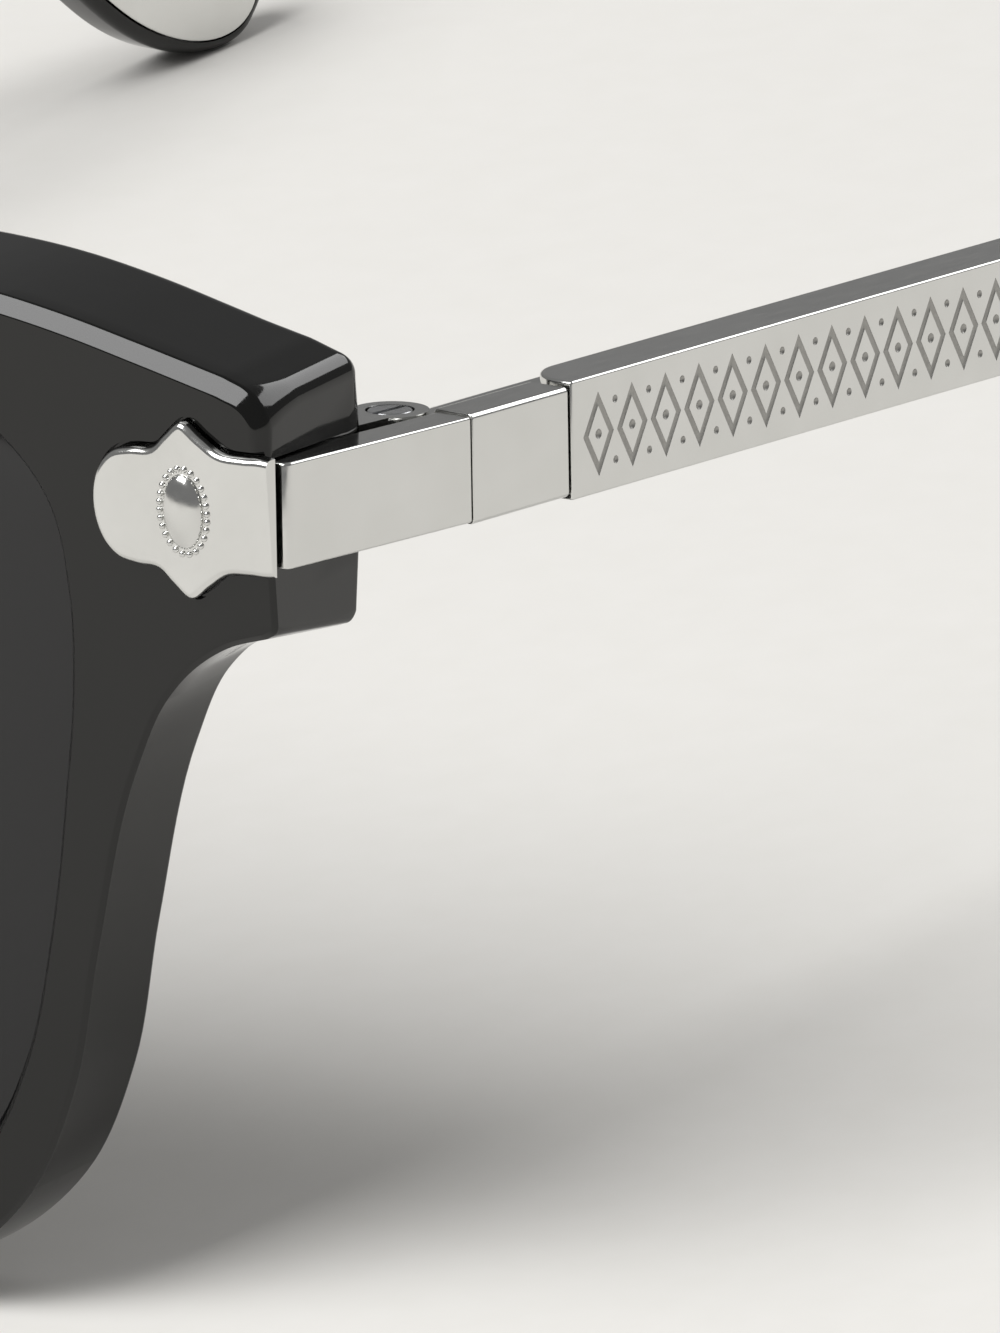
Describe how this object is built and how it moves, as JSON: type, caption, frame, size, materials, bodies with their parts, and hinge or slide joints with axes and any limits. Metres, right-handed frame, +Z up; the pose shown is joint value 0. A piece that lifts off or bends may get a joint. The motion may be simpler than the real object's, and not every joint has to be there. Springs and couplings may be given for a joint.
{
  "type": "sunglasses",
  "caption": "Sunglasses with a thick black acetate front, dark lenses, metal plaques and spring-hinged metal temples that fold.",
  "frame": {"origin": "on the table under the middle of the glasses' box, which lie open on their rims and ear tips", "axes": "+X to the wearer's left, +Y from the front back along the temples, +Z up from the table"},
  "size_m": [0.1462, 0.1532, 0.0526],
  "materials": {
    "black_acetate": "polished black acetate",
    "dark_lens": "dark grey tinted polymer lens, nearly opaque from outside",
    "polished_steel": "polished pale metal",
    "screw_steel": "plain turned steel"
  },
  "bodies": {
    "front": {"front_frame": "black_acetate", "lens_left": "dark_lens", "nose_pad_left": "black_acetate", "plaque_left": "polished_steel", "side_lug_left": "polished_steel", "front_hinge_left": "polished_steel", "plate_screw_upper_left": "screw_steel", "plate_screw_lower_left": "screw_steel", "hinge_screw_left": "screw_steel", "lens_right": "dark_lens", "nose_pad_right": "black_acetate", "plaque_right": "polished_steel", "side_lug_right": "polished_steel", "front_hinge_right": "polished_steel", "plate_screw_upper_right": "screw_steel", "plate_screw_lower_right": "screw_steel", "hinge_screw_right": "screw_steel"},
    "left_eye": {"spring_eye_left": "polished_steel", "spring_nut_left": "screw_steel"},
    "left_temple": {"temple_block_left": "polished_steel", "temple_cover_left": "polished_steel", "temple_core_left": "black_acetate", "spring_housing_left": "polished_steel", "spring_bush_left": "screw_steel", "hinge_spring_left": "screw_steel", "housing_screw_left": "screw_steel", "tip_spine_left": "screw_steel", "ear_tip_left": "black_acetate", "tip_inlay_left": "polished_steel"},
    "right_eye": {"spring_eye_right": "polished_steel", "spring_nut_right": "screw_steel"},
    "right_temple": {"temple_block_right": "polished_steel", "temple_cover_right": "polished_steel", "temple_core_right": "black_acetate", "spring_housing_right": "polished_steel", "spring_bush_right": "screw_steel", "hinge_spring_right": "screw_steel", "housing_screw_right": "screw_steel", "tip_spine_right": "screw_steel", "ear_tip_right": "black_acetate", "tip_inlay_right": "polished_steel"}
  },
  "joints": [
    {"name": "left_fold", "type": "hinge", "parent": "front", "child": "left_eye", "pos_m": [0.06875, -0.05452, 0.03983], "axis": [0, 0.1723, 0.985], "range_deg": [0, 89.1]},
    {"name": "left_spring_slide", "type": "slide", "parent": "left_eye", "child": "left_temple", "axis": [-0.061, 0.9832, -0.172], "range_m": [0, 0.0015], "stiffness_N_per_m": 1500, "springref_m": -0.001, "deforming": ["hinge_spring_left"]},
    {"name": "right_fold", "type": "hinge", "parent": "front", "child": "right_eye", "pos_m": [-0.06875, -0.05452, 0.03983], "axis": [0, -0.1723, -0.985], "range_deg": [0, 82.5]},
    {"name": "right_spring_slide", "type": "slide", "parent": "right_eye", "child": "right_temple", "axis": [0.061, 0.9832, -0.172], "range_m": [0, 0.0015], "stiffness_N_per_m": 1500, "springref_m": -0.001, "deforming": ["hinge_spring_right"]}
  ]
}
